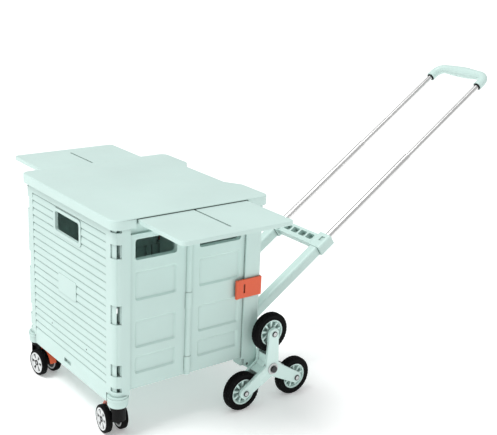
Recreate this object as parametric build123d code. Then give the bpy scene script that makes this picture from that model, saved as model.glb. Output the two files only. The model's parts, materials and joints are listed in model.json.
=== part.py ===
"""Folding box trolley with stair climbing wheels, a lift-off lid with two side boards
and a two-stage telescopic handle.  Millimetres, +Z up, +Y towards the handle.

Parts are modelled about a working origin on the floor under the middle of the box,
and are written with the origin under the middle of the whole trolley.
"""
from build123d import *
from math import cos, radians, sin, tan
import os

# ---------------------------------------------------------------- driving dimensions
# Box
BOX_HALF_WIDTH = 194.0
BOX_FRONT = -173.0
BOX_REAR = 171.0
BOX_TOP = 438.0
PANEL_BOTTOM = 100.0
FRONT_BOTTOM = 72.0
POST_BOTTOM = 81.0
WALL_INNER = -167.0
CORNER_RADIUS = 15.0
POCKET_DEPTH = 2.6

# Folding sides
LEAF_INNER = 176.0
LEAF_OUTER = 189.0
LEAF_SKIN = 3.2
RECESS_DEPTH = 3.4
RECESS_SLOPE = 50.0
LEAF_STEP = 419.0
END_PIVOT_X = 181.0
FRONT_PIVOT_Y = -152.5
MID_PIVOT_X = LEAF_OUTER
MID_PIVOT_Y = -5.0
REAR_PIVOT_Y = 2 * MID_PIVOT_Y - FRONT_PIVOT_Y
BARREL_RADIUS = 7.0
BEAD_RADIUS = 6.5
MID_KNUCKLE_RADIUS = 7.5
HINGE_PIN_RADIUS = 3.0
MID_PIN_RADIUS = 2.5
RUNNING = 0.05
KNUCKLE_GAP = 0.4
LEAF_KNUCKLES = [(102.0, 111.0), (135.0, 160.0), (244.0, 283.0), (377.0, 405.0), (428.0, 437.0)]
MID_KNUCKLES = [(108.0, 140.0), (245.0, 279.0)]
EMBOSSED_ROWS = [(130.0, 168.0), (185.0, 244.0), (284.0, 345.0)]
WINDOW_LOW = 367.0
WINDOW_HIGH = 408.5

# Floor panel
FLOOR_HALF_WIDTH = 156.0
FLOOR_LOW = 89.0
FLOOR_THICK = 8.0
FLOOR_REAR = 150.0
FLOOR_HINGE_Y = -162.0
FLOOR_HINGE_Z = FLOOR_LOW + FLOOR_THICK / 2

# Lid and its boards
LID_HALF_WIDTH = 200.0
LID_FRONT = -180.0
LID_REAR = 182.0
LID_TOP = 455.0
LID_HEIGHT = 20.0
LID_SKIN = 3.0
LID_CORNER = 18.0
NOTCH_FLOOR = 160.0
NOTCH_HALF_FLOOR = 72.0
NOTCH_HALF_MOUTH = 106.0
BOARD_FRONT = -128.0
BOARD_REAR = 124.0
BOARD_INNER = 153.0
BOARD_OUTER = 350.0
BOARD_LOW = 443.0
BOARD_THICK = 8.5
BOARD_SLOT_HALF = 2.2
PEG_X = 168.0
BOARD_TRAVEL = 145.0
BOARD_SLOT_END = PEG_X + BOARD_TRAVEL + 5.0

# Handle: positions along it are measured from HANDLE_START
HANDLE_START = (0.0, 176.6, 90.3)
HANDLE_ANGLE = 34.0
TUBE_X = 79.0
SLEEVE_SIDE = 26.0
SLEEVE_START = 36.0
SLEEVE_END = 298.0
COLLAR_END = 341.0
COLLAR_SIZE = (39.0, 28.0)
BRIDGE_START = 303.0
BRIDGE_END = 336.0
BRIDGE_THICK = 16.0
OUTER_TUBE_START = 292.0
OUTER_TUBE_END = 641.0
OUTER_TUBE_RADIUS = 8.5
OUTER_TUBE_WALL = 0.9
RIVET_PLACES = (489.0, OUTER_TUBE_END - 22.0, OUTER_TUBE_END - 9.0)
RIVET_RADIUS = 1.8
RIVET_SINK = 0.25
INNER_TUBE_START = 596.0
INNER_TUBE_RADIUS = 6.5
INNER_TUBE_WALL = 1.2
GRIP_START = 921.0
GRIP_BAR = 960.0
GRIP_RADIUS = 11.5
GRIP_WALL = 2.4
GRIP_SWELL_RADIUS = 14.0
GRIP_SWELL_HALF = 56.0
HANDLE_PIVOT = (0.0, 172.0, 112.0)
EAR_GAP = 16.0
EAR_THICK = 5.0

# Three-wheel stars
AXLE_Y = 181.0
AXLE_Z = 82.0
AXLE_RADIUS = 5.0
STAR_RADIUS = 79.5
WHEEL_RADIUS = 42.25
RIM_RADIUS = 28.5
WHEEL_FACES = (211.5, 231.5)
STAR_INNER_PLATE = (203.0, 208.5)
STAR_OUTER_PLATE = (232.0, 239.5)
WHEEL_BOLT_RADIUS = 4.0
STAR_ANGLES = [90.0, 210.0, 330.0]
SPOKES = 9

# Twin-wheel casters
SWIVEL_X = 178.0
SWIVEL_Y = -158.0
CASTER_TRAIL = 28.0
CASTER_SKEW = 5.0
CASTER_RADIUS = 29.0
CASTER_RIM = 23.5
CASTER_DISC = (10.0, 24.0)
SOCKET_RADIUS = 20.5
SOCKET_LOW = 68.0
SOCKET_HIGH = 92.0
PEDAL_PIVOT = (14.0, 54.0)

# Side latches
LATCH_LOW = 241.0
LATCH_HIGH = 281.0
LATCH_FRONT = 107.0
LATCH_FACE = 194.6
LATCH_THICK = 4.4
LATCH_PIVOT = (190.0, 166.5)


# ---------------------------------------------------------------- helpers
def block(x0, x1, y0, y1, z0, z1):
    """Box between two corners."""
    return Pos((x0 + x1) / 2, (y0 + y1) / 2, (z0 + z1) / 2) * Box(x1 - x0, y1 - y0, z1 - z0)


def upright(x, y, radius, z0, z1):
    """Vertical cylinder."""
    return Pos(x, y, (z0 + z1) / 2) * Cylinder(radius, z1 - z0)


def crosswise(y, z, radius, x0, x1):
    """Cylinder along X."""
    return Pos((x0 + x1) / 2, y, z) * Rot(0, 90, 0) * Cylinder(radius, x1 - x0)


def lengthwise(x, z, radius, y0, y1):
    """Cylinder along Y."""
    return Pos(x, (y0 + y1) / 2, z) * Rot(90, 0, 0) * Cylinder(radius, y1 - y0)


def prism(points, start, end, plane):
    """Closed outline on a plane, extruded from start to end along the plane's normal."""
    outline = make_face(Polyline(*points, close=True))
    return extrude(plane.offset(start) * outline, amount=end - start)


def side_profile(points, x0, x1):
    """Outline in Y and Z, extruded along X."""
    return prism(points, x0, x1, Plane.YZ)


def rounded(solid, axis, radius):
    """Round the edges that run along an axis."""
    return fillet(solid.edges().filter_by(axis), radius)


def window(x0, x1, y0, y1, z0, z1, axis, radius=6.0):
    """Cutter with rounded corners along an axis."""
    return rounded(block(x0, x1, y0, y1, z0, z1), axis, radius)


def mirrored(solid):
    """The same piece on the left side."""
    return mirror(solid, about=Plane.YZ)


def gaps_between(spans, low, high):
    """Spans left between the given spans, less the knuckle gap."""
    edges = [low] + [value for span in spans for value in span] + [high]
    found = []
    for start, end in zip(edges[0::2], edges[1::2]):
        first = start if start == low else start + KNUCKLE_GAP
        last = end if end == high else end - KNUCKLE_GAP
        if last - first > 2.0:
            found.append((first, last))
    return found


# ---------------------------------------------------------------- rear panel, the root
def post_knuckles(pivot_y, away):
    """Fixed hinge knuckles of a corner, joined to the corner's outer walls.
    away is +1 where the corner lies behind the pivot and -1 where it lies in front."""
    reach = pivot_y + away * 16.0
    low_y, high_y = sorted((pivot_y, reach))
    piece = None
    for z0, z1 in gaps_between(LEAF_KNUCKLES, PANEL_BOTTOM, BOX_TOP):
        knuckle = upright(END_PIVOT_X, pivot_y, BARREL_RADIUS, z0, z1)
        knuckle += block(END_PIVOT_X - BARREL_RADIUS, 191.0, low_y, high_y, z0, z1)
        piece = knuckle if piece is None else piece + knuckle
    pin_hole = upright(END_PIVOT_X, pivot_y, HINGE_PIN_RADIUS, PANEL_BOTTOM, BOX_TOP + 1)
    return piece - pin_hole


def rear_post():
    """Right rear post: an outer strip and a back strip around the hinge."""
    outer = block(165, BOX_HALF_WIDTH, 131.5, BOX_REAR, POST_BOTTOM, BOX_TOP)
    corner = outer.edges().filter_by(Axis.Z).sort_by(lambda e: e.center().X + e.center().Y)[-1]
    outer = fillet(corner, 4.0)
    hollow = block(160, 190, 130, 161.5, PANEL_BOTTOM, BOX_TOP + 1)
    foot_step = block(190, BOX_HALF_WIDTH + 1, 130, 138, POST_BOTTOM - 1, PANEL_BOTTOM - 2)
    post = outer - hollow - foot_step + post_knuckles(REAR_PIVOT_Y, 1)
    post -= block(183, 200, 161.5, BOX_REAR + 1, LATCH_LOW, LATCH_HIGH)
    axle_block = side_profile([(139, 99), (139, 82), (150, 72), (174, 66), (190, 68), (193, 97)], 164, 194)
    axle_block += crosswise(AXLE_Y, AXLE_Z, 15, 164, 196)
    axle_block += crosswise(AXLE_Y, AXLE_Z, 9, 190, 202.4)
    foot_screw = crosswise(146, 84, 3.2, 190, 195)
    return post + axle_block - foot_screw


def latch_ears():
    """Two ears in the notch of the right rear post that hold the latch pin."""
    x, y = LATCH_PIVOT
    ears = None
    for z0, z1 in ((LATCH_LOW, LATCH_LOW + 6), (LATCH_HIGH - 6, LATCH_HIGH)):
        ear = block(x - 4.2, x + 3.4, 159, y, z0, z1) + block(180, x, 159, 163, z0, z1)
        ear += upright(x, y, 4.2, z0, z1)
        ears = ear if ears is None else ears + ear
    return ears - upright(x, y, 1.5, LATCH_LOW - 1, LATCH_HIGH + 1)


def handle_ears(side):
    """Two ears behind the rear wall that hold one handle pin."""
    _, y, z = HANDLE_PIVOT
    ears = None
    for inner in (-EAR_GAP / 2 - EAR_THICK, EAR_GAP / 2):
        x0 = side * TUBE_X + inner
        ear = block(x0, x0 + EAR_THICK, 158, y, z - 9, z + 9)
        ear += crosswise(y, z, 9, x0, x0 + EAR_THICK)
        ears = ear if ears is None else ears + ear
    return ears - crosswise(y, z, 4.0, side * TUBE_X - 20, side * TUBE_X + 20)


def rear_panel():
    wall = block(-168, 168, 151, 160, PANEL_BOTTOM, BOX_TOP)
    wall -= block(-114, 114, 150, 161, 433.5, BOX_TOP + 1)
    for x0, x1 in ((-150, -8), (8, 150)):
        for z0, z1 in EMBOSSED_ROWS + [(362.0, 420.0)]:
            wall -= window(x0, x1, 156.5, 161, z0, z1, Axis.Y, 5)
    right = rear_post() + latch_ears()
    panel = wall + right + mirrored(right)
    panel += block(-168, 168, 168, 194, 73, 88)
    for side in (-1, 1):
        panel += handle_ears(side)
    return panel - crosswise(AXLE_Y, AXLE_Z, AXLE_RADIUS + RUNNING, -210, 210)


# ---------------------------------------------------------------- front panel
def siding():
    """Ribbed front wall: overlapping planks, each leaning out to its lower edge."""
    first, last, planks = 95.0, 418.0, 20
    pitch = (last - first) / planks
    points = [(WALL_INNER, FRONT_BOTTOM), (BOX_FRONT, FRONT_BOTTOM), (BOX_FRONT, first)]
    for index in range(planks):
        low = first + index * pitch
        points += [(BOX_FRONT + 0.2, low + 2.0), (BOX_FRONT, low + 4.5)]
        points += [(BOX_FRONT + 1.3, low + pitch - 2.4), (BOX_FRONT + 2.6, low + pitch - 0.6)]
    points += [(BOX_FRONT, last + 1.0), (BOX_FRONT, BOX_TOP), (WALL_INNER, BOX_TOP)]
    return side_profile(points, -167, 167)


def front_column():
    """Right front column with the pockets that show the hinge knuckles."""
    column = block(158.5, BOX_HALF_WIDTH, BOX_FRONT, -140, SOCKET_HIGH, BOX_TOP)
    edges = column.edges().filter_by(Axis.Z).sort_by(lambda e: e.center().X - e.center().Y)
    column = fillet(edges[-1], CORNER_RADIUS)
    column -= block(150, 190, -166.5, -130, SOCKET_HIGH + 4, BOX_TOP + 1)
    column -= block(150, 162, -166.5, -130, SOCKET_HIGH - 1, BOX_TOP + 1)
    column += post_knuckles(FRONT_PIVOT_Y, -1)
    core = block(150, BOX_HALF_WIDTH - POCKET_DEPTH, BOX_FRONT + POCKET_DEPTH, -130, SOCKET_HIGH, BOX_TOP)
    core_edges = core.edges().filter_by(Axis.Z).sort_by(lambda e: e.center().X - e.center().Y)
    core = fillet(core_edges[-1], CORNER_RADIUS - POCKET_DEPTH)
    for z0, z1 in LEAF_KNUCKLES:
        column -= block(176, 195, BOX_FRONT - 1, -158.6, z0, z1) - core
        column -= block(186, 195, -164.2, -160.4, z0, z1)
    return column


def front_panel():
    wall = siding()
    for x0, x1 in ((-168, -158.5), (158.5, 168)):
        wall -= block(x0, x1, BOX_FRONT - 1, WALL_INNER + 1, FRONT_BOTTOM - 1, SOCKET_HIGH)
    wall += window(-59, 59, BOX_FRONT - 0.8, WALL_INNER, WINDOW_LOW - 7, WINDOW_HIGH + 7, Axis.Y, 9)
    wall -= window(-51.5, 51.5, BOX_FRONT - 2, WALL_INNER + 1, WINDOW_LOW, WINDOW_HIGH, Axis.Y, 6)
    wall += window(-42, 36, BOX_FRONT - 0.6, WALL_INNER, 238, 278, Axis.Y, 3)
    wall -= window(-22, 7, BOX_FRONT - 1, BOX_FRONT + 4.2, 84, 93.5, Axis.Y, 2)
    for x in (-77, 77):
        wall -= lengthwise(x, 150, 1.8, BOX_FRONT - 1, BOX_FRONT + 4)
    right = front_column()
    panel = wall + right + mirrored(right)
    for x in (-90, 90):
        ear = block(x - 9, x + 9, WALL_INNER - 0.5, FLOOR_HINGE_Y, FLOOR_LOW, FLOOR_LOW + FLOOR_THICK)
        ear += crosswise(FLOOR_HINGE_Y, FLOOR_HINGE_Z, FLOOR_THICK / 2, x - 9, x + 9)
        panel += ear
    return panel - crosswise(FLOOR_HINGE_Y, FLOOR_HINGE_Z, 2.5, -120, 120)


def caster_socket(side):
    """Cup under a front column that holds the caster's stem."""
    x = side * SWIVEL_X
    cup = upright(x, SWIVEL_Y, SOCKET_RADIUS, SOCKET_LOW, SOCKET_HIGH)
    cup = fillet(cup.faces().sort_by(Axis.Z)[0].edges(), 3.0)
    cup += upright(x, SWIVEL_Y, SOCKET_RADIUS + 1.0, 83, 88)
    return cup - upright(x, SWIVEL_Y, 6.0 + RUNNING, SOCKET_LOW - 1, 88)


# ---------------------------------------------------------------- floor panel
def floor_panel():
    top = FLOOR_LOW + FLOOR_THICK
    plate = block(-FLOOR_HALF_WIDTH, FLOOR_HALF_WIDTH, FLOOR_HINGE_Y + 5, FLOOR_REAR, FLOOR_LOW, top)
    for x0, x1 in ((-148, -52), (-48, 48), (52, 148)):
        for y0, y1 in ((-148, -52), (-48, 44), (48, 140)):
            plate -= block(x0, x1, y0, y1, FLOOR_LOW - 1, top - 3)
    for x0, x1 in ((-120, -99.5), (-80.5, 80.5), (99.5, 120)):
        plate += crosswise(FLOOR_HINGE_Y, FLOOR_HINGE_Z, FLOOR_THICK / 2, x0, x1)
        plate += block(x0, x1, FLOOR_HINGE_Y, FLOOR_HINGE_Y + 6, FLOOR_LOW, top)
    plate -= crosswise(FLOOR_HINGE_Y, FLOOR_HINGE_Z, 2.5 + RUNNING, -121, 121)
    return plate


# ---------------------------------------------------------------- folding side leaves
def sloped_recess(y0, y1, z0, z1):
    """Cutter for an embossed rectangle whose walls lean out to the leaf's face."""
    inset = RECESS_DEPTH * tan(radians(RECESS_SLOPE))
    floor = Plane.YZ.offset(LEAF_OUTER - RECESS_DEPTH) * Pos((y0 + y1) / 2, (z0 + z1) / 2)
    outline = RectangleRounded(y1 - y0 - 2 * inset, z1 - z0 - 2 * inset, 2.0)
    return extrude(floor * outline, amount=RECESS_DEPTH + 0.5, taper=-RECESS_SLOPE)


def leaf(front):
    """Right side leaf.  The front one reaches from the front corner to the middle."""
    sign = 1 if front else -1
    pivot_y = FRONT_PIVOT_Y if front else REAR_PIVOT_Y
    end_y = pivot_y + sign * 9.5
    mid_y = MID_PIVOT_Y - sign * 6.6
    y0, y1 = sorted((end_y, mid_y))
    plate = block(LEAF_INNER, LEAF_OUTER, y0, y1, PANEL_BOTTOM, BOX_TOP - 1)
    plate -= block(LEAF_OUTER - 6, LEAF_OUTER + 1, y0 - 1, y1 + 1, LEAF_STEP, BOX_TOP)
    inner_y0, inner_y1 = (-127.0, -33.0) if front else (19.5, 121.0)
    for z0, z1 in EMBOSSED_ROWS:
        plate -= sloped_recess(inner_y0, inner_y1, z0, z1)
        plate -= block(LEAF_INNER - 1, LEAF_OUTER - RECESS_DEPTH - LEAF_SKIN, inner_y0, inner_y1, z0, z1)
    plate -= window(LEAF_INNER - 1, LEAF_OUTER + 1, inner_y0, inner_y1, WINDOW_LOW, WINDOW_HIGH, Axis.X, 6)
    # Knuckles at the corner
    web_y0, web_y1 = sorted((pivot_y, end_y))
    for z0, z1 in LEAF_KNUCKLES:
        plate += upright(END_PIVOT_X, pivot_y, BARREL_RADIUS, z0, z1)
        plate += block(LEAF_INNER, END_PIVOT_X + BARREL_RADIUS - 0.5, web_y0, web_y1, z0, z1)
    plate -= upright(END_PIVOT_X, pivot_y, HINGE_PIN_RADIUS + RUNNING, PANEL_BOTTOM, BOX_TOP)
    # Bead and knuckles at the middle
    spans = gaps_between(MID_KNUCKLES, PANEL_BOTTOM, LEAF_STEP) if front else MID_KNUCKLES
    web_y0, web_y1 = sorted((mid_y, MID_PIVOT_Y))
    bead = BEAD_RADIUS if front else MID_KNUCKLE_RADIUS
    if front:
        for z0, z1 in MID_KNUCKLES:
            clearance = MID_KNUCKLE_RADIUS + KNUCKLE_GAP
            plate -= upright(MID_PIVOT_X, MID_PIVOT_Y, clearance, z0 - KNUCKLE_GAP, z1 + KNUCKLE_GAP)
    for z0, z1 in spans:
        plate += upright(MID_PIVOT_X, MID_PIVOT_Y, bead, z0, z1)
        plate += block(MID_PIVOT_X - BEAD_RADIUS, MID_PIVOT_X, web_y0, web_y1, z0, z1)
    pin_radius = MID_PIN_RADIUS + (0 if not front else RUNNING)
    return plate - upright(MID_PIVOT_X, MID_PIVOT_Y, pin_radius, PANEL_BOTTOM - 1, BOX_TOP)


# ---------------------------------------------------------------- side latch
def side_latch():
    """Right latch: a plate over the post's edge, hooked round to its pin."""
    x, y = LATCH_PIVOT
    outer = LATCH_FACE + LATCH_THICK
    plate = block(LATCH_FACE, outer, LATCH_FRONT, y + 2, LATCH_LOW, LATCH_HIGH)
    plate += block(LATCH_FACE, outer + 1.2, LATCH_FRONT, LATCH_FRONT + 5, LATCH_LOW, LATCH_HIGH)
    hook = block(x, outer, y - 0.6, y + 4.4, LATCH_LOW, LATCH_HIGH)
    hook -= upright(x, y, 4.6, LATCH_LOW - 1, LATCH_LOW + 6.4)
    hook -= upright(x, y, 4.6, LATCH_HIGH - 6.4, LATCH_HIGH + 1)
    barrel = upright(x, y, 4.4, LATCH_LOW + 6.4, LATCH_HIGH - 6.4)
    barrel += block(x, outer - 0.2, y - 4.4, y + 4.4, LATCH_LOW + 6.4, LATCH_HIGH - 6.4)
    latch = plate + hook + barrel - upright(x, y, 1.5 + RUNNING, LATCH_LOW - 1, LATCH_HIGH + 1)
    latch -= block(x - 5, LATCH_FACE, y - 5.6, y - 4.4, LATCH_LOW - 1, LATCH_HIGH + 1)
    return latch - window(LATCH_FACE - 1, outer + 2, 125.0, 129.4, 251, 271, Axis.X, 1.5)


# ---------------------------------------------------------------- lid
def lid_outline(inset):
    """Lid outline with the handle notch in its rear edge, pulled in by inset."""
    points = [
        (-LID_HALF_WIDTH, LID_FRONT),
        (LID_HALF_WIDTH, LID_FRONT),
        (LID_HALF_WIDTH, LID_REAR),
        (NOTCH_HALF_MOUTH, LID_REAR),
        (NOTCH_HALF_FLOOR, NOTCH_FLOOR),
        (-NOTCH_HALF_FLOOR, NOTCH_FLOOR),
        (-NOTCH_HALF_MOUTH, LID_REAR),
        (-LID_HALF_WIDTH, LID_REAR),
    ]
    outline = make_face(Polyline(*points, close=True))
    outer_corners = outline.vertices().filter_by(lambda v: abs(v.X) > LID_HALF_WIDTH - 1)
    outline = fillet(outer_corners, LID_CORNER)
    notch_corners = outline.vertices().filter_by(lambda v: abs(v.X) < NOTCH_HALF_MOUTH + 1 and v.Y > 0)
    outline = fillet(notch_corners, 12.0)
    return offset(outline, -inset) if inset else outline


def lid_shell():
    low = LID_TOP - LID_HEIGHT
    shell = extrude(Plane.XY.offset(low) * lid_outline(0), amount=LID_HEIGHT)
    shell = fillet(shell.faces().sort_by(Axis.Z)[-1].edges(), 2.5)
    shell -= extrude(Plane.XY.offset(low - 1) * lid_outline(LID_SKIN), amount=LID_HEIGHT - LID_SKIN + 1)
    for side in (-1, 1):
        x0, x1 = sorted((side * 180, side * (LID_HALF_WIDTH + 5)))
        shell -= block(x0, x1, BOARD_FRONT - 2.5, BOARD_REAR + 2.5, low - 1, LID_TOP - LID_SKIN)
    return shell


def lid_rails():
    """Two L-shaped guide rails under the lid and the boards' two stop pegs."""
    skin = LID_TOP - LID_SKIN
    front = block(-186, 186, BOARD_FRONT - 6, BOARD_FRONT - 0.5, 438.8, skin)
    front += block(-186, 186, BOARD_FRONT - 6, BOARD_FRONT + 5, 438.8, BOARD_LOW - 0.4)
    rear = block(-186, 186, BOARD_REAR + 0.5, BOARD_REAR + 6, 438.8, skin)
    rear += block(-186, 186, BOARD_REAR - 5, BOARD_REAR + 6, 438.8, BOARD_LOW - 0.4)
    middle = (BOARD_FRONT + BOARD_REAR) / 2
    pegs = [upright(side * PEG_X, middle, 1.9, 444.5, skin) for side in (-1, 1)]
    return [front, rear] + pegs


def board():
    """Right sliding board with its guide slot."""
    high = BOARD_LOW + BOARD_THICK
    plate = block(BOARD_INNER, BOARD_OUTER, BOARD_FRONT, BOARD_REAR, BOARD_LOW, high)
    outer_edges = plate.edges().filter_by(Axis.Z).filter_by(lambda e: e.center().X > BOARD_OUTER - 1)
    plate = fillet(outer_edges, 10.0)
    plate = fillet(plate.faces().sort_by(Axis.Z)[-1].edges(), 1.5)
    middle = (BOARD_FRONT + BOARD_REAR) / 2
    slot = block(PEG_X - 3, BOARD_SLOT_END, middle - BOARD_SLOT_HALF, middle + BOARD_SLOT_HALF, 430, 460)
    return plate - rounded(slot, Axis.Z, BOARD_SLOT_HALF - 0.1)


# ---------------------------------------------------------------- handle
HANDLE = Plane(
    origin=HANDLE_START,
    x_dir=(1, 0, 0),
    z_dir=(0, cos(radians(HANDLE_ANGLE)), sin(radians(HANDLE_ANGLE))),
).location


def along_handle(x, radius, start, end):
    """Cylinder along the handle, in the handle's own frame."""
    return Pos(x, 0, (start + end) / 2) * Cylinder(radius, end - start)


def handle_local(y, z):
    """Offset below the handle's line, and position along it, of a point in Y and Z."""
    dy = y - HANDLE_START[1]
    dz = z - HANDLE_START[2]
    c, s = cos(radians(HANDLE_ANGLE)), sin(radians(HANDLE_ANGLE))
    return dy * s - dz * c, dy * c + dz * s


def handle_sleeve(side):
    """Square plastic sleeve with the lug that turns on the handle pin."""
    x = side * TUBE_X
    half = SLEEVE_SIDE / 2
    sleeve = block(x - half, x + half, -half, half, SLEEVE_START, SLEEVE_END)
    sleeve = rounded(sleeve, Axis.Z, 6.0)
    pivot_y, pivot_s = handle_local(*HANDLE_PIVOT[1:])
    lug_half = EAR_GAP / 2 - 0.4
    lug = block(x - lug_half, x + lug_half, pivot_y - 3, 4, pivot_s - 7, SLEEVE_START + 26)
    lug = lug - Pos(x, 0, 0) * block(-20, 20, -9, 20, -20, SLEEVE_START)
    lug += Pos(x, pivot_y, pivot_s) * Rot(0, 90, 0) * Cylinder(8.5, 2 * lug_half)
    sleeve += lug
    sleeve -= along_handle(x, OUTER_TUBE_RADIUS + 0.15, SLEEVE_START + 8, SLEEVE_END + 1)
    sleeve -= Pos(x, pivot_y, pivot_s) * Rot(0, 90, 0) * Cylinder(4.0 + RUNNING, 40)
    return HANDLE * sleeve


def handle_bridge():
    """Collars on both sleeves and the bar with four pockets between them."""
    width, height = COLLAR_SIZE
    bridge = block(-TUBE_X, TUBE_X, -BRIDGE_THICK / 2, BRIDGE_THICK / 2, BRIDGE_START, BRIDGE_END)
    for x in (-40.5, -13.5, 13.5, 40.5):
        bridge -= window(x - 10.5, x + 10.5, -20, BRIDGE_THICK / 2 - 2.5, 314.5, 329, Axis.Y, 2)
    for side in (-1, 1):
        x = side * TUBE_X
        collar = block(x - width / 2, x + width / 2, -height / 2, height / 2, SLEEVE_END, COLLAR_END)
        bridge += rounded(collar, Axis.Z, 6.0)
        bridge -= along_handle(x, OUTER_TUBE_RADIUS + 0.15, SLEEVE_END - 1, COLLAR_END + 1)
        bridge -= window(x - 1, x + 10, -height, -height / 2 + 3.5, 318, 331, Axis.Y, 1.5)
    return HANDLE * bridge


def tube_pair(radius, wall, start, end):
    tubes = []
    for x in (-TUBE_X, TUBE_X):
        tube = along_handle(x, radius, start, end) - along_handle(x, radius - wall, start - 1, end + 1)
        tubes.append(HANDLE * tube)
    return tubes


def rivet(x, s, inner, outer):
    """Short pin through the underside of an outer tube, between two distances from its axis."""
    return HANDLE * Pos(x, (inner + outer) / 2, s) * Rot(90, 0, 0) * Cylinder(RIVET_RADIUS, outer - inner)


def outer_tubes():
    tubes = tube_pair(OUTER_TUBE_RADIUS, OUTER_TUBE_WALL, OUTER_TUBE_START, OUTER_TUBE_END)
    drilled = []
    for x, tube in zip((-TUBE_X, TUBE_X), tubes):
        for s in RIVET_PLACES:
            tube -= rivet(x, s, OUTER_TUBE_RADIUS - 3.0, OUTER_TUBE_RADIUS + 1.0)
        drilled.append(tube)
    return drilled


def tube_bushes():
    """Plastic bushes inside the upper ends of the outer tubes."""
    bushes = []
    for x in (-TUBE_X, TUBE_X):
        bush = along_handle(x, OUTER_TUBE_RADIUS - OUTER_TUBE_WALL, OUTER_TUBE_END - 30, OUTER_TUBE_END)
        bush -= along_handle(x, INNER_TUBE_RADIUS + 0.1, OUTER_TUBE_END - 31, OUTER_TUBE_END + 1)
        bushes.append(HANDLE * bush)
    return bushes


def tube_rivets():
    """Two small rivets under the upper end of each outer tube, and its stop stud."""
    inner = OUTER_TUBE_RADIUS - OUTER_TUBE_WALL
    outer = OUTER_TUBE_RADIUS - RIVET_SINK
    return [rivet(x, s, inner, outer) for x in (-TUBE_X, TUBE_X) for s in RIVET_PLACES]


def inner_tube_feet():
    """Plastic plugs in the lower ends of the inner tubes."""
    feet = []
    for x in (-TUBE_X, TUBE_X):
        foot = along_handle(x, INNER_TUBE_RADIUS - INNER_TUBE_WALL, INNER_TUBE_START, INNER_TUBE_START + 12)
        foot += along_handle(x, INNER_TUBE_RADIUS + 0.8, INNER_TUBE_START - 6, INNER_TUBE_START)
        feet.append(HANDLE * foot)
    return feet


def grip_solid(radius):
    """Tubular grip: two legs and a crossbar with round corners."""
    legs = [(-TUBE_X, 0, GRIP_START), (-TUBE_X, 0, GRIP_BAR), (TUBE_X, 0, GRIP_BAR), (TUBE_X, 0, GRIP_START)]
    path = FilletPolyline(*legs, radius=24.0)
    section = Plane(path @ 0, z_dir=path % 0) * Circle(radius)
    return sweep(section, path=path)


def palm_swell():
    """Thicker middle of the crossbar."""
    half = GRIP_SWELL_HALF
    ends = GRIP_RADIUS - 0.6
    arc = ThreePointArc((-half, ends), (0, GRIP_SWELL_RADIUS), (half, ends))
    outline = make_face(arc + Polyline((half, ends), (half, 0), (-half, 0), (-half, ends)))
    return Pos(0, 0, GRIP_BAR) * revolve(outline, axis=Axis.X)


def grip_shells():
    """Upper and lower halves of the grip, screwed together."""
    outer = grip_solid(GRIP_RADIUS) + palm_swell()
    core = grip_solid(GRIP_RADIUS - GRIP_WALL)
    shell = outer - core
    button_cut = block(-16.3, 16.3, -4.8, 4.8, GRIP_BAR + 4, GRIP_BAR + 20)
    shell -= button_cut
    for x in (-42.0, 42.0):
        shell -= Pos(x, 10, GRIP_BAR) * Rot(90, 0, 0) * Cylinder(2.6, 14)
    upper = shell - block(-120, 120, 0, 40, GRIP_START - 5, GRIP_BAR + 40)
    lower = shell - block(-120, 120, -40, 0, GRIP_START - 5, GRIP_BAR + 40)
    return HANDLE * upper, HANDLE * lower


def grip_screws():
    screws = []
    for x in (-42.0, 42.0):
        screw = Pos(x, 5, GRIP_BAR) * Rot(90, 0, 0) * Cylinder(2.5, 8)
        screws.append(HANDLE * screw)
    return screws


def grip_collars():
    """Dark rings where the inner tubes enter the grip."""
    rings = []
    for x in (-TUBE_X, TUBE_X):
        ring = along_handle(x, GRIP_RADIUS - GRIP_WALL, GRIP_START - 2.5, GRIP_START + 8)
        ring -= along_handle(x, INNER_TUBE_RADIUS, GRIP_START - 4, GRIP_START + 9)
        rings.append(HANDLE * ring)
    return rings


def grip_button():
    """Release button in the outer face of the crossbar."""
    button = block(-16, 16, -4.5, 4.5, GRIP_BAR + 5, GRIP_BAR + GRIP_SWELL_RADIUS + 2.2)
    button = rounded(button, Axis.Z, 4.0)
    return HANDLE * button


# ---------------------------------------------------------------- stars and their wheels
def star_centre(angle):
    return AXLE_Y + STAR_RADIUS * cos(radians(angle)), AXLE_Z + STAR_RADIUS * sin(radians(angle))


def star_plate(x0, x1, hub, root_half, tip_half):
    """Three tapered arms around a hub."""
    plate = crosswise(AXLE_Y, AXLE_Z, hub, x0, x1)
    for angle in STAR_ANGLES:
        c, s = cos(radians(angle)), sin(radians(angle))
        y, z = star_centre(angle)
        corners = [(AXLE_Y - s * root_half, AXLE_Z + c * root_half), (y - s * tip_half, z + c * tip_half)]
        corners += [(y + s * tip_half, z - c * tip_half), (AXLE_Y + s * root_half, AXLE_Z - c * root_half)]
        plate += side_profile(corners, x0, x1) + crosswise(y, z, tip_half, x0, x1)
    return plate


def star_holes(x0, x1, axle_hole):
    holes = crosswise(AXLE_Y, AXLE_Z, axle_hole, x0, x1)
    for angle in STAR_ANGLES:
        holes += crosswise(*star_centre(angle), WHEEL_BOLT_RADIUS, x0, x1)
    return holes


def star_outer():
    """Outer star plate with the hub barrel."""
    x0, x1 = STAR_OUTER_PLATE
    plate = star_plate(x0, x1, 18, 16.5, 12.5)
    plate = fillet(plate.faces().sort_by(Axis.X)[-1].edges(), 2.5)
    plate += crosswise(AXLE_Y, AXLE_Z, 13, STAR_INNER_PLATE[1], x0 + 1)
    plate += crosswise(AXLE_Y, AXLE_Z, 11.5, x1 - 1, x1 + 1.5)
    return plate - star_holes(200, 245, AXLE_RADIUS + RUNNING)


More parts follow.
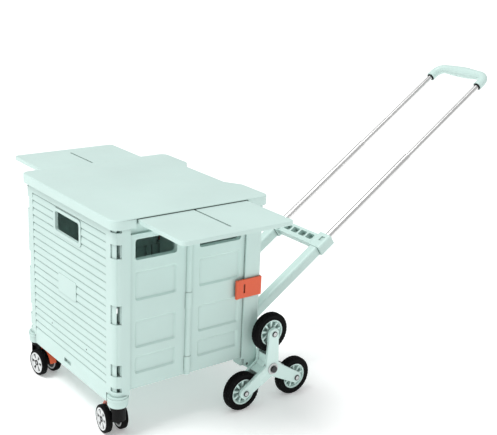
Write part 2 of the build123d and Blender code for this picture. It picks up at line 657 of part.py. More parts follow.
def hub_block(x0, x1, radius, reach, half):
    """Round hub with a short square root towards each arm."""
    root = side_profile([(0, -half), (reach, -half), (reach, half), (0, half)], x0, x1)
    shape = crosswise(AXLE_Y, AXLE_Z, radius, x0, x1)
    for angle in STAR_ANGLES:
        shape += Pos(0, AXLE_Y, AXLE_Z) * Rot(angle, 0, 0) * root
    return shape


def star_inner():
    """Inner star plate, with a box of webs that reaches to the outer one round the hub."""
    x0, x1 = STAR_INNER_PLATE
    plate = star_plate(x0, x1, 22, 19, 14)
    webs = hub_block(x1 - 1, STAR_OUTER_PLATE[0], 21.5, 33, 15.5)
    webs -= hub_block(x1, STAR_OUTER_PLATE[0] + 1, 19.0, 30.5, 13.0)
    return plate + webs - star_holes(200, 245, AXLE_RADIUS + RUNNING)


def wheel_bolts():
    bolts = []
    for angle in STAR_ANGLES:
        y, z = star_centre(angle)
        bolt = crosswise(y, z, WHEEL_BOLT_RADIUS, STAR_INNER_PLATE[0] - 2.3, STAR_OUTER_PLATE[1] + 1)
        bolt += crosswise(y, z, 6.0, STAR_OUTER_PLATE[1], STAR_OUTER_PLATE[1] + 2.0)
        bolts.append(bolt)
    return bolts


def star_tyre(angle):
    y, z = star_centre(angle)
    tyre = crosswise(y, z, WHEEL_RADIUS, *WHEEL_FACES)
    tyre = fillet(tyre.edges().filter_by(GeomType.CIRCLE), 6.0)
    return tyre - crosswise(y, z, RIM_RADIUS, 200, 240)


def star_rim(angle):
    """Spoked rim: ring, hub and spokes."""
    y, z = star_centre(angle)
    x0, x1 = WHEEL_FACES[0] + 1.5, WHEEL_FACES[1] - 1.5
    rim = crosswise(y, z, RIM_RADIUS, x0, x1) - crosswise(y, z, RIM_RADIUS - 4, x0 - 1, x1 + 1)
    rim += crosswise(y, z, 9.0, x0 - 1, x1 + 1)
    for index in range(SPOKES):
        turn = 360.0 * index / SPOKES
        spoke = block(x0 + 2, x1 - 2, 6.0, RIM_RADIUS - 2, -2.4, 2.4)
        rim += Pos(0, y, z) * Rot(turn, 0, 0) * spoke
    return rim - crosswise(y, z, WHEEL_BOLT_RADIUS + RUNNING, x0 - 5, x1 + 5)


def axle_caps():
    """Push-on caps that keep the stars on the axle."""
    caps = []
    start = STAR_OUTER_PLATE[1] + 1.9
    for side in (-1, 1):
        x0, x1 = sorted((side * start, side * (start + 4.6)))
        cap = crosswise(AXLE_Y, AXLE_Z, 7.0, x0, x1)
        b0, b1 = sorted((side * (start - 1), side * (start + 2.6)))
        caps.append(cap - crosswise(AXLE_Y, AXLE_Z, AXLE_RADIUS, b0, b1))
    return caps


# ---------------------------------------------------------------- casters
def caster_place(side):
    """Own frame of a caster: x trails the wheels inwards, z is the swivel axis."""
    turn = 180 - CASTER_SKEW if side > 0 else CASTER_SKEW
    return Pos(side * SWIVEL_X, SWIVEL_Y, 0) * Rot(0, 0, turn)


def caster_housing():
    """Stem, flange and the body between the two discs."""
    body = upright(0, 0, 6.0, 50, 86)
    body += upright(0, 0, 16.5, 63.5, SOCKET_LOW - 0.6)
    nose = upright(0, 0, 15.5, 37, 64)
    nose -= block(-4.8, 40, 7.4, 30, 30, 60) + block(-4.8, 40, -30, -7.4, 30, 60)
    body += nose
    web = [(-4, 54), (8, 54), (CASTER_TRAIL + 4, 40.5), (CASTER_TRAIL + 10, 24)]
    web += [(CASTER_TRAIL - 9, 21), (-2, 38)]
    body += extrude(Plane.XZ.offset(-7.0) * make_face(Polyline(*web, close=True)), amount=14.0)
    body += lengthwise(CASTER_TRAIL, CASTER_RADIUS, 11.0, -7.6, 7.6)
    px, pz = PEDAL_PIVOT
    slot = block(px, 60, -4.5, 4.5, pz - 6, 70) + lengthwise(px, pz, 4.6, -4.5, 4.5)
    body -= slot
    body += lengthwise(px, pz, 1.6, -7.0, 7.0)
    return body - lengthwise(CASTER_TRAIL, CASTER_RADIUS, 3.0, -8, 8)


def caster_pedal():
    """Curved brake pedal between the discs."""
    px, pz = PEDAL_PIVOT
    centre_x, centre_z = CASTER_TRAIL, CASTER_RADIUS
    band = lengthwise(centre_x, centre_z, 34.5, -6.6, 6.6) - lengthwise(centre_x, centre_z, 30.0, -8, 8)
    keep = [(19.5, 75), (19.5, 50), (centre_x, centre_z), (70, centre_z + 6), (70, 75)]
    band &= extrude(Plane.XZ.offset(-8) * make_face(Polyline(*keep, close=True)), amount=16)
    lug = lengthwise(px, pz, 3.6, -4.0, 4.0)
    link = [(px, pz - 3.4), (24, centre_z + 30.4), (24, centre_z + 34), (19.6, centre_z + 33), (px, pz + 3.4)]
    lug += extrude(Plane.XZ.offset(-4) * make_face(Polyline(*link, close=True)), amount=8)
    return band + lug - lengthwise(px, pz, 1.6 + RUNNING, -10, 10)


def caster_discs(outer, inner):
    """Two rings on the caster's axle, one each side of the body."""
    near, far = CASTER_DISC
    pair = []
    for y0, y1 in ((near, far), (-far, -near)):
        disc = lengthwise(CASTER_TRAIL, CASTER_RADIUS, outer, y0, y1)
        disc -= lengthwise(CASTER_TRAIL, CASTER_RADIUS, inner, y0 - 1, y1 + 1)
        pair.append(disc)
    return pair


def caster_tyres():
    return [fillet(d.edges().filter_by(GeomType.CIRCLE).sort_by(SortBy.RADIUS)[-2:], 2.5)
            for d in caster_discs(CASTER_RADIUS, CASTER_RIM)]


def caster_rims():
    return caster_discs(CASTER_RIM, 3.0)


def caster_axle():
    return lengthwise(CASTER_TRAIL, CASTER_RADIUS, 3.0 - RUNNING, -23.5, 23.5)


# ---------------------------------------------------------------- assembly
def build_nodes():
    """Every node's solids, in the working frame."""
    nodes = {}
    nodes["rear_panel"] = [rear_panel()]
    nodes["front_panel"] = [front_panel()]
    nodes["floor_panel"] = [floor_panel()]
    nodes["caster_sockets"] = [caster_socket(side) for side in (-1, 1)]
    for name, front in (("front", True), ("rear", False)):
        right = leaf(front)
        nodes[f"{name}_leaf_right"] = [right]
        nodes[f"{name}_leaf_left"] = [mirrored(right)]
        y = FRONT_PIVOT_Y if front else REAR_PIVOT_Y
        pins = [upright(x, y, HINGE_PIN_RADIUS, PANEL_BOTTOM, 437.5) for x in (-END_PIVOT_X, END_PIVOT_X)]
        nodes[f"{name}_pins"] = pins
    nodes["front_pins"].append(crosswise(FLOOR_HINGE_Y, FLOOR_HINGE_Z, 2.5, -120, 120))
    mid_pin = upright(MID_PIVOT_X, MID_PIVOT_Y, MID_PIN_RADIUS, PANEL_BOTTOM, LEAF_STEP)
    nodes["mid_hinge_pin_right"] = [mid_pin]
    nodes["mid_hinge_pin_left"] = [mirrored(mid_pin)]

    latch = side_latch()
    nodes["side_latch_right"] = [latch]
    nodes["side_latch_left"] = [mirrored(latch)]
    x, y = LATCH_PIVOT
    half = EAR_GAP / 2 + EAR_THICK
    for side in (-1, 1):
        nodes["rear_pins"].append(upright(side * x, y, 1.5, LATCH_LOW, LATCH_HIGH))
        pin = crosswise(*HANDLE_PIVOT[1:], 4.0, side * TUBE_X - half, side * TUBE_X + half)
        nodes["rear_pins"].append(pin)

    nodes["lid_shell"] = [lid_shell()]
    nodes["lid_rails"] = lid_rails()
    right_board = board()
    nodes["board_right"] = [right_board]
    nodes["board_left"] = [mirrored(right_board)]

    nodes["handle_sleeves"] = [handle_sleeve(side) for side in (-1, 1)]
    nodes["handle_bridge"] = [handle_bridge()]
    nodes["outer_tubes"] = outer_tubes()
    nodes["tube_bushes"] = tube_bushes()
    nodes["tube_rivets"] = tube_rivets()
    nodes["inner_tubes"] = tube_pair(INNER_TUBE_RADIUS, INNER_TUBE_WALL, INNER_TUBE_START, GRIP_START + 20)
    nodes["inner_tube_feet"] = inner_tube_feet()
    upper, lower = grip_shells()
    nodes["grip_upper"] = [upper]
    nodes["grip_lower"] = [lower]
    nodes["grip_screws"] = grip_screws()
    nodes["grip_collars"] = grip_collars()
    nodes["grip_button"] = [grip_button()]

    nodes["wheel_axle"] = [crosswise(AXLE_Y, AXLE_Z, AXLE_RADIUS, -244, 244)]
    nodes["axle_caps"] = axle_caps()
    right_star = {"star_outer": [star_outer()], "star_inner": [star_inner()], "wheel_bolts": wheel_bolts()}
    for index, angle in enumerate(STAR_ANGLES, start=1):
        right_star[f"tyre_{index}"] = [star_tyre(angle)]
        right_star[f"rim_{index}"] = [star_rim(angle)]
    for name, solids in right_star.items():
        nodes[f"{name}_right"] = solids
        nodes[f"{name}_left"] = [mirrored(solid) for solid in solids]

    caster = {
        "caster_housing": [caster_housing()],
        "caster_pedal": [caster_pedal()],
        "caster_axle": [caster_axle()],
        "caster_tyres": caster_tyres(),
        "caster_rims": caster_rims(),
    }
    for name, solids in caster.items():
        nodes[f"{name}_right"] = [caster_place(1) * solid for solid in solids]
        nodes[f"{name}_left"] = [caster_place(-1) * solid for solid in solids]
    return nodes


NODES = build_nodes()
BOXES = [solid.bounding_box() for solids in NODES.values() for solid in solids]
CENTRE_Y = (min(box.min.Y for box in BOXES) + max(box.max.Y for box in BOXES)) / 2

os.makedirs("parts", exist_ok=True)
for name, solids in NODES.items():
    placed = [Pos(0, -CENTRE_Y, 0) * solid for solid in solids]
    export_step(placed[0] if len(placed) == 1 else Compound(children=placed), f"parts/{name}.step")
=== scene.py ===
"""Looks of the folding box trolley with stair climbing wheels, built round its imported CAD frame.

Metres, +Z up, +Y towards the handle, the origin on the floor under the middle of the trolley.
"""

import json
from math import cos, pi, radians, sin

import bmesh
import bpy
from mathutils import Matrix, Vector

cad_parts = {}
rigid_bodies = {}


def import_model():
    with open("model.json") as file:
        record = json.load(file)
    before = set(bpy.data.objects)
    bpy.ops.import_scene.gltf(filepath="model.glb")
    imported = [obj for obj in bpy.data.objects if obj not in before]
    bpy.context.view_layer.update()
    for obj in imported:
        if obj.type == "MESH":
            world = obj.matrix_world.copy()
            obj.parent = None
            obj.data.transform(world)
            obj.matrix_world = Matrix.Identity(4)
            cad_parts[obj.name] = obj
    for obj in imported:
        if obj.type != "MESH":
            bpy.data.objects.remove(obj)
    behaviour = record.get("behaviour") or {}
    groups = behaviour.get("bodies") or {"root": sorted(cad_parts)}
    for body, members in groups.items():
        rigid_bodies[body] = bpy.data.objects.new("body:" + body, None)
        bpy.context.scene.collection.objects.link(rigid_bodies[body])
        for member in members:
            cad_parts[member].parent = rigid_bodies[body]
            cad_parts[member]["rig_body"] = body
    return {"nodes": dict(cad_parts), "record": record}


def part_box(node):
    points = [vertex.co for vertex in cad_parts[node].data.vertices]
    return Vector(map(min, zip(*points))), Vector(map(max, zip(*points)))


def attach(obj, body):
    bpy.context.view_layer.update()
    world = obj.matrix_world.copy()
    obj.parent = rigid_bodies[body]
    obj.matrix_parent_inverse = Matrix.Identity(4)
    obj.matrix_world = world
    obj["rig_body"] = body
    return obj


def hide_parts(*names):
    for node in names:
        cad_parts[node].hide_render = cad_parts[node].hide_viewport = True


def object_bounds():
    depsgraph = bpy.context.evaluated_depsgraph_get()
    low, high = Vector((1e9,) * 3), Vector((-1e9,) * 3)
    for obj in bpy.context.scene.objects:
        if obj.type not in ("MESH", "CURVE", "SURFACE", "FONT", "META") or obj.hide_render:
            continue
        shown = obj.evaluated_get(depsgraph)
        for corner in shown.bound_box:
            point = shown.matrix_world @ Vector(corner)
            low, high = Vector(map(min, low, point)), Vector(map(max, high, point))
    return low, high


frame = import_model()
CAD_LOW, CAD_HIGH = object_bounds()
MM = 0.001

# ---------------------------------------------------------------- camera
AZIMUTH = 52.22
ELEVATION = 17.44
ROLL = 2.49
DISTANCE = 2.5318
LENS = 69.02
AIM_FROM_CENTRE = Vector((-0.2628, 0.0843, -0.0893))
SENSOR_WIDTH = 36.0
FAR_CLIP = 2000.0


def make_camera():
    a, e, r = radians(AZIMUTH), radians(ELEVATION), radians(ROLL)
    back = Vector((sin(a) * cos(e), -cos(a) * cos(e), sin(e)))
    level_right = Vector((cos(a), sin(a), 0))
    level_up = back.cross(level_right)
    right = level_right * cos(r) + level_up * sin(r)
    up = level_up * cos(r) - level_right * sin(r)
    data = bpy.data.cameras.new("camera")
    data.lens = LENS
    data.sensor_width = SENSOR_WIDTH
    data.clip_end = FAR_CLIP
    camera = bpy.data.objects.new("camera", data)
    bpy.context.scene.collection.objects.link(camera)
    place = (CAD_LOW + CAD_HIGH) / 2 + AIM_FROM_CENTRE + back * DISTANCE
    matrix = Matrix((right, up, back)).transposed().to_4x4()
    matrix.translation = place
    camera.matrix_world = matrix
    bpy.context.scene.camera = camera


# ---------------------------------------------------------------- light and floor
WORLD_STRENGTH = 0.52
SUN_STRENGTH = 1.75
SUN_SPREAD = radians(26)
SUN_TOWARD = Vector((-0.1, -0.39, 0.92))
LIT_POINT = (0, 0, 0.25)
FLOOR_HALF = 400.0


def area_light(name, place, aim, size, watts, colour=(1, 1, 1)):
    data = bpy.data.lights.new(name, "AREA")
    data.shape = "RECTANGLE"
    data.size, data.size_y = size
    data.energy = watts
    data.color = colour
    lamp = bpy.data.objects.new(name, data)
    bpy.context.scene.collection.objects.link(lamp)
    lamp.location = place
    lamp.rotation_mode = "QUATERNION"
    lamp.rotation_quaternion = (Vector(aim) - Vector(place)).to_track_quat("-Z", "Y")


def soft_sun(toward, strength):
    data = bpy.data.lights.new("sun", "SUN")
    data.energy = strength
    data.angle = SUN_SPREAD
    lamp = bpy.data.objects.new("sun", data)
    bpy.context.scene.collection.objects.link(lamp)
    lamp.rotation_mode = "QUATERNION"
    lamp.rotation_quaternion = toward.to_track_quat("Z", "Y")


def make_studio():
    scene = bpy.context.scene
    scene.view_settings.view_transform = "Standard"
    world = bpy.data.worlds.new("studio")
    world.use_nodes = True
    world.node_tree.nodes["Background"].inputs["Color"].default_value = (1.0, 1.0, 1.0, 1.0)
    world.node_tree.nodes["Background"].inputs["Strength"].default_value = WORLD_STRENGTH
    scene.world = world
    soft_sun(SUN_TOWARD, SUN_STRENGTH)
    area_light("key", (-1.2, -2.6, 2.6), LIT_POINT, (2.2, 2.2), 7.0)
    area_light("strip", (2.4, -1.0, 2.0), LIT_POINT, (0.25, 2.4), 3.5)

    mesh = bpy.data.meshes.new("floor")
    bm = bmesh.new()
    bmesh.ops.create_grid(bm, x_segments=2, y_segments=2, size=FLOOR_HALF)
    bm.to_mesh(mesh)
    bm.free()
    floor = bpy.data.objects.new("floor", mesh)
    scene.collection.objects.link(floor)
    floor.data.materials.append(floor_material())


# ---------------------------------------------------------------- materials
class Nodes:
    """Short hand for building a material's nodes."""

    def __init__(self, name):
        self.material = bpy.data.materials.new(name)
        self.material.use_nodes = True
        self.tree = self.material.node_tree
        self.shader = self.tree.nodes["Principled BSDF"]

    def new(self, kind, **values):
        node = self.tree.nodes.new(kind)
        for key, value in values.items():
            if hasattr(node, key):
                setattr(node, key, value)
            else:
                node.inputs[key.replace("_", " ")].default_value = value
        return node

    def link(self, output, socket):
        self.tree.links.new(output, socket)

    def coordinates(self, scale=(1, 1, 1), tilt=0.0):
        place = self.new("ShaderNodeTexCoord")
        mapping = self.new("ShaderNodeMapping")
        mapping.inputs["Rotation"].default_value = (tilt, 0, 0)
        mapping.inputs["Scale"].default_value = scale
        self.link(place.outputs["Object"], mapping.inputs["Vector"])
        return mapping.outputs["Vector"]

    def noise(self, scale, detail=3.0, roughness=0.5, coordinates=None):
        node = self.new("ShaderNodeTexNoise", Scale=scale, Detail=detail, Roughness=roughness)
        self.link(coordinates or self.coordinates(), node.inputs["Vector"])
        return node.outputs["Fac"]

    def spread(self, value, low, high, start=0.3, end=0.7):
        """Map start..end of a value to low..high."""
        node = self.new("ShaderNodeMapRange")
        node.inputs["From Min"].default_value = start
        node.inputs["From Max"].default_value = end
        node.inputs["To Min"].default_value = low
        node.inputs["To Max"].default_value = high
        self.link(value, node.inputs["Value"])
        return node.outputs["Result"]

    def mix(self, amount, first, second):
        """Mix two colours; each is a colour or an output."""
        node = self.new("ShaderNodeMix", data_type="RGBA")
        self.link(amount, node.inputs["Factor"])
        for socket, value in ((node.inputs[6], first), (node.inputs[7], second)):
            if isinstance(value, tuple):
                socket.default_value = (*value, 1.0)
            else:
                self.link(value, socket)
        return node.outputs[2]

    def edges(self, radius):
        """1 on convex and concave edges, 0 on flat faces."""
        bevel = self.new("ShaderNodeBevel", samples=4)
        bevel.inputs["Radius"].default_value = radius
        geometry = self.new("ShaderNodeNewGeometry")
        dot = self.new("ShaderNodeVectorMath", operation="DOT_PRODUCT")
        self.link(bevel.outputs["Normal"], dot.inputs[0])
        self.link(geometry.outputs["Normal"], dot.inputs[1])
        return self.spread(dot.outputs["Value"], 1.0, 0.0, 0.86, 1.0)

    def painted_crevice_shade(self, colour, reach=0.009, floor=0.25):
        """Paint shade into a colour: darken it where surfaces close in on each other."""
        shade = self.new("ShaderNodeAmbientOcclusion", samples=4)
        shade.inputs["Distance"].default_value = reach
        dark = self.new("ShaderNodeMix", data_type="RGBA", blend_type="MULTIPLY")
        dark.inputs["Factor"].default_value = 1.0
        self.link(colour, dark.inputs[6])
        self.link(self.spread(shade.outputs["AO"], floor, 1.0, 0.15, 0.85), dark.inputs[7])
        return dark.outputs[2]

    def bump(self, height, distance, strength):
        node = self.new("ShaderNodeBump")
        node.inputs["Strength"].default_value = strength
        node.inputs["Distance"].default_value = distance
        self.link(height, node.inputs["Height"])
        return node.outputs["Normal"]


def scaled(colour, factor):
    return tuple(min(1.0, channel * factor) for channel in colour)


def moulded_plastic(
    name, colour, roughness, grain=1100.0, grain_depth=0.00006, wear_and_highlight=0.35, coat=0.0, specular=0.45
):
    """Injection moulded plastic: fine leather-like grain, faint flow marks, edges lighter from rubbed wear
    and a painted highlight, and painted shade in its crevices.
    """
    n = Nodes(name)
    flow = n.noise(7.0, detail=4.0)
    fine = n.noise(grain, detail=2.0, roughness=0.6)
    body = n.mix(n.spread(flow, 0.0, 1.0), scaled(colour, 0.965), scaled(colour, 1.025))
    # edges painted lighter, convex and concave alike: partly rubbed wear, partly a painted highlight along
    # the edges
    wear_and_edge_highlight = n.new("ShaderNodeMath", operation="MULTIPLY")
    n.link(n.edges(0.0016), wear_and_edge_highlight.inputs[0])
    n.link(n.spread(n.noise(60.0), wear_and_highlight * 0.4, wear_and_highlight), wear_and_edge_highlight.inputs[1])
    # painted shade: the base colour is darkened by ambient occlusion in crevices, gaps and recesses
    n.link(n.painted_crevice_shade(n.mix(wear_and_edge_highlight.outputs[0], body, scaled(colour, 1.14))), n.shader.inputs["Base Color"])
    gloss = n.spread(n.noise(34.0, detail=5.0), roughness - 0.05, roughness + 0.07)
    n.link(gloss, n.shader.inputs["Roughness"])
    n.link(n.bump(fine, grain_depth, 0.5), n.shader.inputs["Normal"])
    n.shader.inputs["Specular IOR Level"].default_value = specular
    n.shader.inputs["Coat Weight"].default_value = coat
    n.shader.inputs["Coat Roughness"].default_value = 0.12
    return n.material


def rubber(name):
    """Black tyre rubber with a dry bloom and a little dust on the tread."""
    n = Nodes(name)
    bloom = n.noise(48.0, detail=6.0, roughness=0.62)
    dust = n.noise(620.0, detail=2.0)
    dark = n.mix(n.spread(bloom, 0.0, 1.0, 0.35, 0.75), (0.0016, 0.0016, 0.0018), (0.0040, 0.0040, 0.0044))
    dusty = n.mix(n.spread(dust, 0.0, 0.25, 0.55, 0.8), dark, (0.014, 0.014, 0.013))
    n.link(dusty, n.shader.inputs["Base Color"])
    n.link(n.spread(bloom, 0.58, 0.74), n.shader.inputs["Roughness"])
    n.link(n.bump(dust, 0.00012, 0.6), n.shader.inputs["Normal"])
    n.shader.inputs["Specular IOR Level"].default_value = 0.10
    return n.material


def chromed_tube(name, tilt):
    """Bright drawn tube: fine lines along its length under faint smudges."""
    n = Nodes(name)
    along = n.coordinates(scale=(1.0, 1.0, 0.012), tilt=tilt)
    lines = n.noise(900.0, detail=2.0, coordinates=along)
    smudge = n.noise(26.0, detail=4.0)
    drawn = n.mix(n.spread(lines, 0.0, 1.0), (0.76, 0.76, 0.755), (0.84, 0.84, 0.835))
    n.link(drawn, n.shader.inputs["Base Color"])
    n.shader.inputs["Metallic"].default_value = 1.0
    n.link(n.spread(smudge, 0.24, 0.34), n.shader.inputs["Roughness"])
    n.link(n.bump(smudge, 0.00002, 0.1), n.shader.inputs["Normal"])
    return n.material


def steel(name, colour=(0.42, 0.42, 0.43), roughness=0.36):
    """Turned or cut steel with fine scratches."""
    n = Nodes(name)
    scratch = n.noise(700.0, detail=3.0, coordinates=n.coordinates(scale=(1.0, 0.15, 1.0)))
    stain = n.noise(90.0, detail=4.0)
    stained = n.mix(n.spread(stain, 0.0, 1.0), scaled(colour, 0.82), scaled(colour, 1.1))
    n.link(stained, n.shader.inputs["Base Color"])
    n.shader.inputs["Metallic"].default_value = 1.0
    n.link(n.spread(scratch, roughness - 0.08, roughness + 0.1), n.shader.inputs["Roughness"])
    n.link(n.bump(scratch, 0.00003, 0.4), n.shader.inputs["Normal"])
    return n.material


def floor_material():
    n = Nodes("studio_floor")
    cloud = n.noise(1.4, detail=2.0)
    pale = n.mix(n.spread(cloud, 0.0, 1.0), (0.93, 0.935, 0.935), (0.95, 0.95, 0.95))
    n.link(pale, n.shader.inputs["Base Color"])
    n.shader.inputs["Roughness"].default_value = 0.85
    n.shader.inputs["Specular IOR Level"].default_value = 0.1
    n.shader.inputs["Emission Color"].default_value = (1.0, 1.0, 1.0, 1.0)
    n.shader.inputs["Emission Strength"].default_value = 0.24
    return n.material


HANDLE_ANGLE = 34.0
HANDLE_TILT = radians(90.0 - HANDLE_ANGLE)
MINT = (0.600, 0.770, 0.728)
LOOKS = {
    "mint_panel": moulded_plastic("mint_panel", MINT, 0.46),
    "mint_lid": moulded_plastic("mint_lid", scaled(MINT, 1.03), 0.40, grain=1500.0),
    "mint_handle": moulded_plastic("mint_handle", MINT, 0.34, grain=1500.0),
    # star plastic: the coat gloss is its finish; the mint raised 1.2 times is painted light that lifts star
    # arms sitting in shade
    "mint_star_painted_light": moulded_plastic(
        "mint_star_painted_light", scaled(MINT, 1.20), 0.22, grain=1500.0, grain_depth=0.00002, coat=0.35
    ),
    "orange_plastic": moulded_plastic("orange_plastic", (0.80, 0.118, 0.042), 0.36),
    "black_plastic": moulded_plastic("black_plastic", (0.0035, 0.0035, 0.0038), 0.5, wear_and_highlight=0.5, specular=0.16),
    # painted shade: near-black teal for the discs set behind the caster spokes, standing for the shaded
    # inside of the rims
    "caster_gap_painted_shade": moulded_plastic("caster_gap_painted_shade", (0.030, 0.036, 0.036), 0.55),
    "silver_plastic": moulded_plastic("silver_plastic", (0.74, 0.76, 0.76), 0.24, coat=0.3),
    "tyre_black": rubber("tyre_black"),
    "tube_chrome": chromed_tube("tube_chrome", HANDLE_TILT),
    "pin_steel": steel("pin_steel"),
    "dark_steel": steel("dark_steel", (0.075, 0.078, 0.080), 0.42),
}

# ---------------------------------------------------------------- mesh helpers
SMOOTH_ANGLE = radians(35)


def add_piece(name, bm, look, body, stands_for=()):
    """Make an object of a bmesh, shade it, and hang it on its body."""
    bmesh.ops.recalc_face_normals(bm, faces=bm.faces)
    for face in bm.faces:
        face.smooth = True
    for edge in bm.edges:
        edge.smooth = not (len(edge.link_faces) == 2 and edge.calc_face_angle(0) > SMOOTH_ANGLE)
    mesh = bpy.data.meshes.new(name)
    bm.to_mesh(mesh)
    bm.free()
    piece = bpy.data.objects.new(name, mesh)
    bpy.context.scene.collection.objects.link(piece)
    piece.data.materials.append(LOOKS[look])
    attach(piece, body)
    if stands_for:
        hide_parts(*stands_for)
    return piece


def softened(node, look, width):
    """A copy of a CAD node with its moulded edges rounded off."""
    source = frame["nodes"][node]
    bm = bmesh.new()
    bm.from_mesh(source.data)
    bmesh.ops.remove_doubles(bm, verts=bm.verts, dist=2e-6)
    bmesh.ops.dissolve_limit(bm, angle_limit=radians(1.0), verts=bm.verts, edges=bm.edges)
    piece = add_piece(f"{node}_moulding", bm, look, source["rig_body"], [node])
    bevel = piece.modifiers.new("rounding", "BEVEL")
    bevel.width = width
    bevel.segments = 2
    bevel.limit_method = "ANGLE"
    bevel.angle_limit = radians(40)
    bevel.use_clamp_overlap = False
    bevel.harden_normals = True
    bevel.miter_outer = "MITER_ARC"
    return piece


SLOT_OF = {entry["node"]: entry["material_slot"] for entry in frame["record"]["subparts"]}
LOOK_OF = {"axle_caps": "dark_steel"}
for side_name in ("left", "right"):
    LOOK_OF[f"wheel_bolts_{side_name}"] = "dark_steel"
    LOOK_OF[f"star_outer_{side_name}"] = "mint_star_painted_light"
    LOOK_OF[f"star_inner_{side_name}"] = "mint_star_painted_light"


def dress_cad_nodes():
    """Give every CAD node that still shows its procedural material."""
    for node, piece in frame["nodes"].items():
        piece.data.materials.clear()
        piece.data.materials.append(LOOKS[LOOK_OF.get(node, SLOT_OF[node])])


# ---------------------------------------------------------------- turned and lofted shapes
def turned(profile, segments=96, relief=None):
    """Closed outline of (along, radius) points turned about local X, in millimetres."""
    bm = bmesh.new()
    rings = []
    for step in range(segments):
        c, s = cos(2 * pi * step / segments), sin(2 * pi * step / segments)
        ring = []
        for along, radius in profile:
            cut = relief(step, along, radius) if relief else 0.0
            ring.append(bm.verts.new((along, (radius - cut) * c, (radius - cut) * s)))
        rings.append(ring)
    for this, following in zip(rings, rings[1:] + rings[:1]):
        for index in range(len(profile)):
            after = (index + 1) % len(profile)
            bm.faces.new((this[index], this[after], following[after], following[index]))
    bmesh.ops.remove_doubles(bm, verts=bm.verts, dist=1e-4)
    loose = [edge for edge in bm.edges if edge.is_wire]
    bmesh.ops.delete(bm, geom=loose, context="EDGES")
    return bm


def lofted(bm, sections):
    """Skin a row of equal-sided rings and close both ends."""
    rows = [[bm.verts.new(point) for point in section] for section in sections]
    for this, following in zip(rows, rows[1:]):
        for index in range(len(this)):
            after = (index + 1) % len(this)
            bm.faces.new((this[index], this[after], following[after], following[index]))
    bm.faces.new(rows[0])
    bm.faces.new(rows[-1])


def joined(*shapes):
    """All shapes in one bmesh."""
    whole = bmesh.new()
    for shape in shapes:
        mesh = bpy.data.meshes.new("part")
        shape.to_mesh(mesh)
        shape.free()
        whole.from_mesh(mesh)
        bpy.data.meshes.remove(mesh)
    return whole


def wheel_place(node, skew=0.0, side=1):
    """Frame at a wheel's centre: local X points out along its axle, in millimetres."""
    low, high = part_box(node)
    centre = (Vector(low) + Vector(high)) / 2
    turn = Matrix.Rotation(skew, 4, "Z")
    flip = Matrix.Rotation(0.0 if side > 0 else pi, 4, "Z")
    return Matrix.Translation(centre) @ turn @ flip @ Matrix.Scale(MM, 4)


def soft_ring(inner, outer, start, end, lip=1.0):
    """Outline of a ring with chamfered edges on its outer side."""
    return [
        (start, inner),
        (start, outer - lip),
        (start + lip, outer),
        (end - lip, outer),
        (end - lip * 0.3, outer - lip * 0.3),
        (end, outer - lip),
        (end, inner + lip),
        (end - lip, inner),
    ]


# ---------------------------------------------------------------- star wheels
TREAD_RADIUS = 42.2
TREAD_HALF = 9.95
BEAD_RADIUS = 28.4
SHOULDER = 5.2
TREAD_STEPS = 144
NOTCH_DEPTH = 0.9
STAR_SPOKES = 9


def tyre_outline(inner, outer, half, shoulder):
    """Tyre section: beads, a step in the side wall, round shoulders and three tread grooves."""
    right = [(half - 0.6, inner), (half, inner + 1.0), (half, inner + 3.4), (half - 0.7, inner + 4.0)]
    right.append((half - 0.4, outer - shoulder - 1.0))
    for step in range(0, 91, 15):
        swing = radians(step)
        right.append((half - 0.3 - shoulder * (1 - cos(swing)), outer - shoulder * (1 - sin(swing))))
    groove = [(4.1, outer), (3.8, outer - 1.1), (3.2, outer - 1.1), (2.9, outer)]
    right += groove
    centre = [(0.5, outer), (0.3, outer - 1.1), (-0.3, outer - 1.1), (-0.5, outer)]
    return right + centre + [(-along, radius) for along, radius in reversed(right)]


def star_tyre(index, side, name):
    node = f"tyre_{index}_{name}"

    def relief(step, along, radius):
        on_shoulder = radius > 39.0 and abs(along) > 4.3
        return NOTCH_DEPTH if step % 4 == 0 and on_shoulder else 0.0

    outline = tyre_outline(BEAD_RADIUS, TREAD_RADIUS, TREAD_HALF, SHOULDER)
    bm = turned(outline, TREAD_STEPS, relief)
    bm.transform(wheel_place(node, 0.0, side))
    add_piece(f"{node}_tread", bm, "tyre_black", frame["nodes"][node]["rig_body"], [node])


def spoke_section(radius, half, low, high, soft):
    """Chamfered rectangle across a spoke at a radius."""
    points = [(low, half), (high - soft, half), (high, half - soft), (high, soft - half)]
    points += [(high - soft, -half), (low, -half)]
    return [(along, across, radius) for along, across in points]


def spokes(count, radii, halves, low, high, soft=0.8, start=0.0):
    bm = bmesh.new()
    for index in range(count):
        one = bmesh.new()
        lofted(one, [spoke_section(r, h, low, high, soft) for r, h in zip(radii, halves)])
        one.transform(Matrix.Rotation(start + 2 * pi * index / count, 4, "X"))
        bm = joined(bm, one)
    return bm


def star_rim(index, side, name):
    node = f"rim_{index}_{name}"
    lip = turned([
        (-8.4, 24.6), (-8.4, 28.45), (8.2, 28.45), (8.45, 28.0), (8.45, 25.9), (7.8, 25.2), (6.6, 24.6),
    ])
    hub = turned(soft_ring(4.1, 9.0, -9.4, 9.4, 0.9), 48)
    arms = spokes(STAR_SPOKES, (7.5, 16.0, 25.5), (2.7, 2.1, 2.9), -6.0, 6.2)
    ledge = turned([(-6.5, 22.6), (-6.5, 25.0), (4.6, 25.0), (4.6, 23.0), (4.2, 22.6)])
    bm = joined(lip, hub, arms, ledge)
    bm.transform(wheel_place(node, 0.0, side))
    add_piece(f"{node}_spoked", bm, "mint_star_painted_light", frame["nodes"][node]["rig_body"], [node])


# ---------------------------------------------------------------- casters
CASTER_SKEW = 5.0


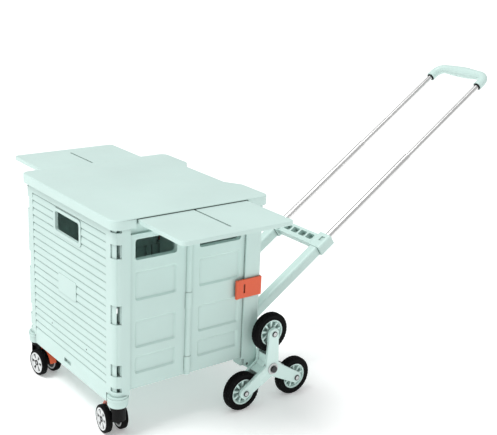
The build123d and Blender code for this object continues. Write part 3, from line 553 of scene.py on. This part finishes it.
def caster_wheels(side, name):
    skew = radians(90.0 - CASTER_SKEW * side)
    body = frame["nodes"][f"caster_rims_{name}"]["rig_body"]
    place = wheel_place(f"caster_tyres_{name}", skew)
    tyres, rims, gap_shade_discs, hubs = [], [], [], []
    for flip in (Matrix.Identity(4), Matrix.Rotation(pi, 4, "Z")):
        tyre = turned([
            (10.2, 23.3), (10.2, 26.6), (11.4, 28.3), (13.0, 28.95), (16.4, 28.95),
            (16.7, 28.3), (17.3, 28.3), (17.6, 28.95), (21.0, 28.95), (22.6, 28.3),
            (23.7, 26.6), (23.7, 24.6), (23.2, 23.9), (23.2, 23.3),
        ], 96)
        lip = turned([(10.5, 19.6), (10.5, 23.4), (23.1, 23.4), (23.9, 22.9), (23.9, 20.9), (23.0, 19.9)], 72)
        arms = spokes(6, (6.6, 12.0, 20.6), (2.9, 3.9, 7.4), 18.0, 22.6, 0.7)
        hub = turned(soft_ring(6.2, 8.6, 12.0, 23.2, 0.6), 48)
        # dark disc behind the spokes: painted shade seen through the gaps between them
        gap = turned([(11.0, 3.1), (11.0, 20.0), (15.0, 20.0), (15.0, 3.1)], 48)
        cap = turned([(14.0, 3.0), (14.0, 6.3), (23.0, 6.3), (23.8, 5.4), (23.8, 3.0)], 40)
        for shape, kept in ((tyre, tyres), (joined(lip, arms, hub), rims), (gap, gap_shade_discs), (cap, hubs)):
            shape.transform(place @ flip)
            kept.append(shape)
    treads, discs = [f"caster_tyres_{name}"], [f"caster_rims_{name}"]
    add_piece(f"caster_{name}_treads", joined(*tyres), "tyre_black", body, treads)
    add_piece(f"caster_{name}_spoked", joined(*rims), "silver_plastic", body, discs)
    add_piece(f"caster_{name}_gaps", joined(*gap_shade_discs), "caster_gap_painted_shade", body)
    add_piece(f"caster_{name}_hubs", joined(*hubs), "black_plastic", body)


# ---------------------------------------------------------------- fasteners
def star_fasteners(side, name):
    """Bright washer round the axle end, and a dished bright face on the head of every wheel bolt."""
    body = frame["nodes"][f"star_outer_{name}"]["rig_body"]
    low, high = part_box(f"star_outer_{name}")
    face = high[0] if side > 0 else low[0]
    axle_low, axle_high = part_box("wheel_axle")
    centre = (Vector(axle_low) + Vector(axle_high)) / 2
    centre.x = face
    flip = Matrix.Rotation(0.0 if side > 0 else pi, 4, "Z")
    washer = turned([(-1.6, 7.6), (-1.6, 12.4), (0.2, 12.4), (0.6, 11.8), (0.6, 8.2), (0.2, 7.6)], 64)
    washer.transform(Matrix.Translation(centre) @ flip @ Matrix.Scale(MM, 4))
    add_piece(f"hub_washer_{name}", washer, "silver_plastic", body)

    faces = []
    for index in (1, 2, 3):
        outline = [(1.2, 0.0), (1.2, 4.3), (2.3, 4.3), (2.7, 3.7), (2.7, 2.0), (2.2, 1.6), (2.2, 0.0)]
        button = turned(outline, 40)
        place = wheel_place(f"tyre_{index}_{name}", 0.0, side)
        place.translation.x = face - side * 1.5 * MM
        button.transform(place)
        faces.append(button)
    add_piece(f"bolt_faces_{name}", joined(*faces), "silver_plastic", body)


def rounded_mouldings():
    """Mouldings whose edges are rounded in the mesh."""
    for node, look, width in (
        ("lid_shell", "mint_lid", 1.2),
        ("handle_sleeves", "mint_handle", 0.8),
        ("handle_bridge", "mint_handle", 0.8),
        ("board_right", "mint_lid", 0.7),
        ("board_left", "mint_lid", 0.7),
    ):
        softened(node, look, width * MM)


# ---------------------------------------------------------------- build
make_camera()
make_studio()
dress_cad_nodes()
rounded_mouldings()
for side_sign, side_name in ((1, "right"), (-1, "left")):
    for wheel in (1, 2, 3):
        star_tyre(wheel, side_sign, side_name)
        star_rim(wheel, side_sign, side_name)
    caster_wheels(side_sign, side_name)
    star_fasteners(side_sign, side_name)
